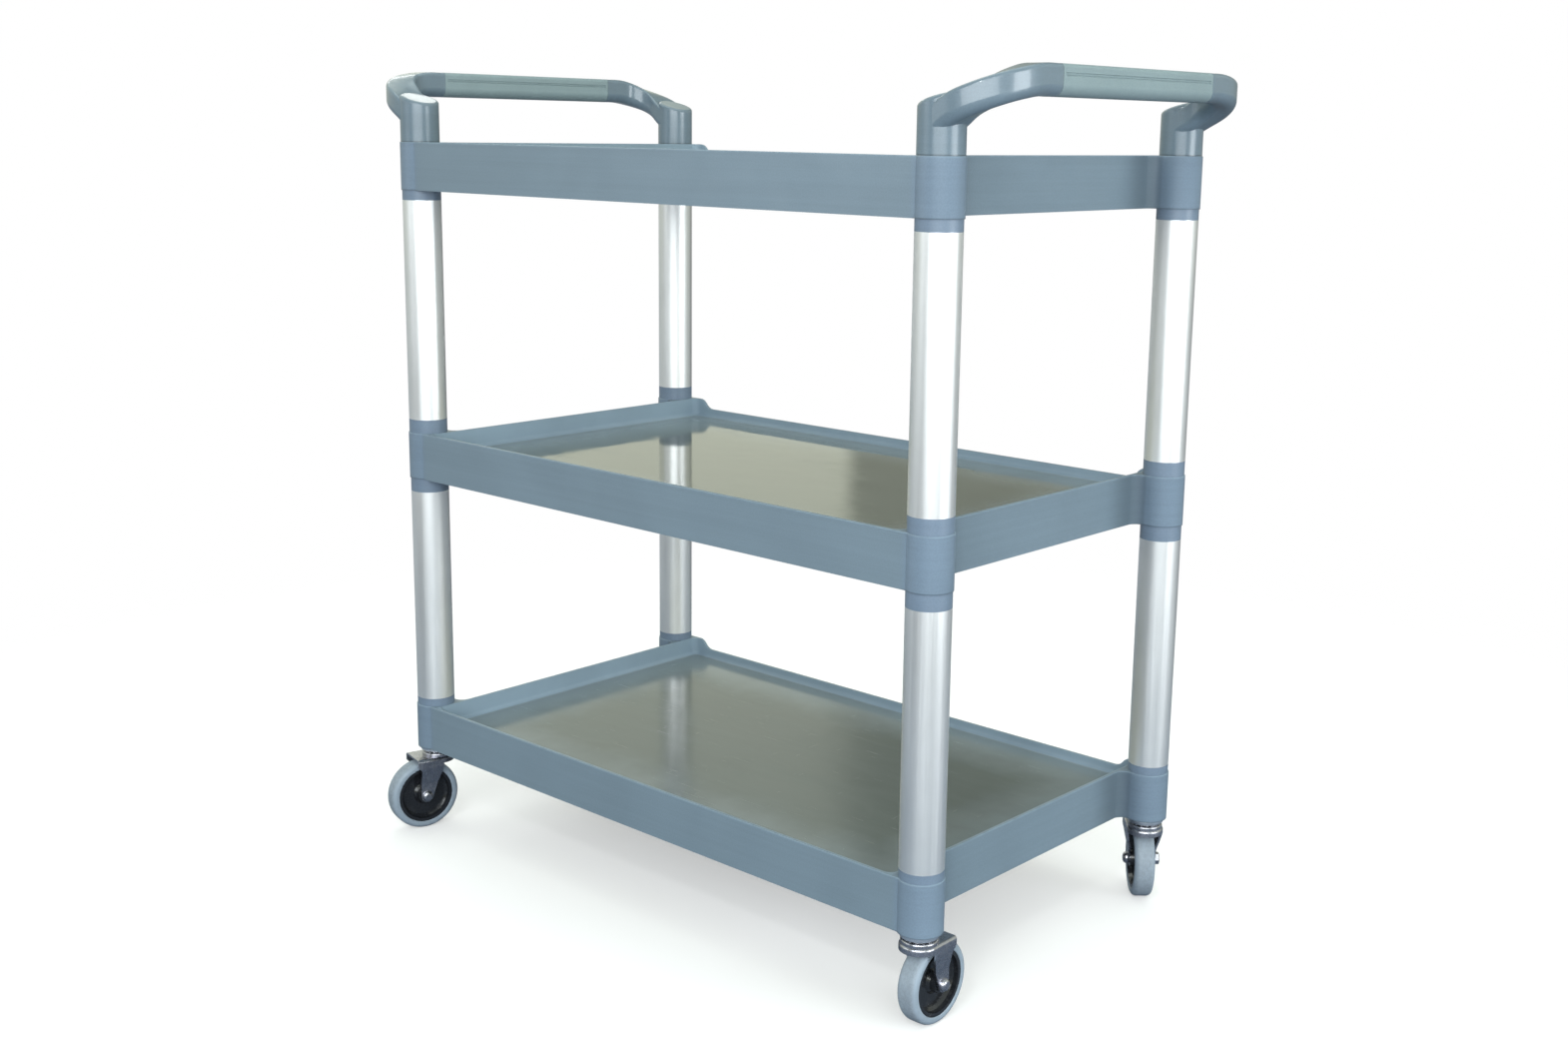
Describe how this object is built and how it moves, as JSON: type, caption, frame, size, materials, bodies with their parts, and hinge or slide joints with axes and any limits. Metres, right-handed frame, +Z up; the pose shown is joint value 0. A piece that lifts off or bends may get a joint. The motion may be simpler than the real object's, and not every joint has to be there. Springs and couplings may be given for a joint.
{
  "type": "food service trolley",
  "caption": "Tiered service trolley with moulded tray shelves on tubular aluminium posts, push handles at both ends and swivel casters.",
  "frame": {"origin": "centre of the object's box, on the floor", "axes": "+X along the trolley towards the right handle, +Y across it towards the shelves' low wall, +Z up"},
  "size_m": [0.9718, 0.5632, 0.968],
  "materials": {
    "shelf_plastic": "moulded blue-grey polypropylene, satin walls and a glossier deck",
    "plug_plastic": "moulded, satin, slightly darker blue-grey",
    "handle_plastic": "moulded grey-green, semi-gloss",
    "grip_plastic": "fine-textured grip, grooved along the crown",
    "socket_plastic": "moulded nylon",
    "post_aluminium": "satin anodised tube",
    "zinc_steel": "bright zinc plate",
    "bright_steel": "polished",
    "hub_plastic": "black moulded nylon",
    "tyre": "grey thermoplastic rubber, non-marking"
  },
  "bodies": {
    "frame": {"bottom_shelf": "shelf_plastic", "middle_shelf": "shelf_plastic", "top_shelf": "shelf_plastic", "lower_tube_front_left": "post_aluminium", "upper_tube_front_left": "post_aluminium", "lower_tube_front_right": "post_aluminium", "upper_tube_front_right": "post_aluminium", "lower_tube_back_left": "post_aluminium", "upper_tube_back_left": "post_aluminium", "lower_tube_back_right": "post_aluminium", "upper_tube_back_right": "post_aluminium", "bottom_shelf_tube_plugs": "plug_plastic", "middle_shelf_lower_tube_plugs": "plug_plastic", "middle_shelf_upper_tube_plugs": "plug_plastic", "top_shelf_tube_plugs": "plug_plastic", "handle_left": "handle_plastic", "handle_right": "handle_plastic", "handle_grip_left": "grip_plastic", "handle_grip_right": "grip_plastic", "caster_sockets": "socket_plastic", "caster_stems": "zinc_steel", "caster_bearing_caps": "bright_steel"},
    "caster_front_left": {"caster_fork_front_left": "zinc_steel", "caster_balls_front_left": "bright_steel", "axle_bolt_front_left": "zinc_steel", "axle_nut_front_left": "zinc_steel", "axle_sleeve_front_left": "zinc_steel"},
    "wheel_front_left": {"wheel_hub_front_left": "hub_plastic", "wheel_tyre_front_left": "tyre"},
    "caster_front_right": {"caster_fork_front_right": "zinc_steel", "caster_balls_front_right": "bright_steel", "axle_bolt_front_right": "zinc_steel", "axle_nut_front_right": "zinc_steel", "axle_sleeve_front_right": "zinc_steel"},
    "wheel_front_right": {"wheel_hub_front_right": "hub_plastic", "wheel_tyre_front_right": "tyre"},
    "caster_back_left": {"caster_fork_back_left": "zinc_steel", "caster_balls_back_left": "bright_steel", "axle_bolt_back_left": "zinc_steel", "axle_nut_back_left": "zinc_steel", "axle_sleeve_back_left": "zinc_steel"},
    "wheel_back_left": {"wheel_hub_back_left": "hub_plastic", "wheel_tyre_back_left": "tyre"},
    "caster_back_right": {"caster_fork_back_right": "zinc_steel", "caster_balls_back_right": "bright_steel", "axle_bolt_back_right": "zinc_steel", "axle_nut_back_right": "zinc_steel", "axle_sleeve_back_right": "zinc_steel"},
    "wheel_back_right": {"wheel_hub_back_right": "hub_plastic", "wheel_tyre_back_right": "tyre"}
  },
  "joints": [
    {"name": "swivel_front_left", "type": "hinge", "parent": "frame", "child": "caster_front_left", "pos_m": [-0.405, -0.215, 0.1], "axis": [0, 0, 1], "continuous": true},
    {"name": "roll_front_left", "type": "hinge", "parent": "caster_front_left", "child": "wheel_front_left", "pos_m": [-0.41032, -0.23635, 0.045], "axis": [0.9703, -0.2419, 0], "continuous": true},
    {"name": "swivel_front_right", "type": "hinge", "parent": "frame", "child": "caster_front_right", "pos_m": [0.405, -0.215, 0.1], "axis": [0, 0, 1], "continuous": true},
    {"name": "roll_front_right", "type": "hinge", "parent": "caster_front_right", "child": "wheel_front_right", "pos_m": [0.40462, -0.193, 0.045], "axis": [-0.9998, -0.0175, 0], "continuous": true},
    {"name": "swivel_back_left", "type": "hinge", "parent": "frame", "child": "caster_back_left", "pos_m": [-0.405, 0.215, 0.1], "axis": [0, 0, 1], "continuous": true},
    {"name": "roll_back_left", "type": "hinge", "parent": "caster_back_left", "child": "wheel_back_left", "pos_m": [-0.41032, 0.23635, 0.045], "axis": [-0.9703, -0.2419, 0], "continuous": true},
    {"name": "swivel_back_right", "type": "hinge", "parent": "frame", "child": "caster_back_right", "pos_m": [0.405, 0.215, 0.1], "axis": [0, 0, 1], "continuous": true},
    {"name": "roll_back_right", "type": "hinge", "parent": "caster_back_right", "child": "wheel_back_right", "pos_m": [0.39086, 0.23185, 0.045], "axis": [-0.766, -0.6428, 0], "continuous": true}
  ]
}
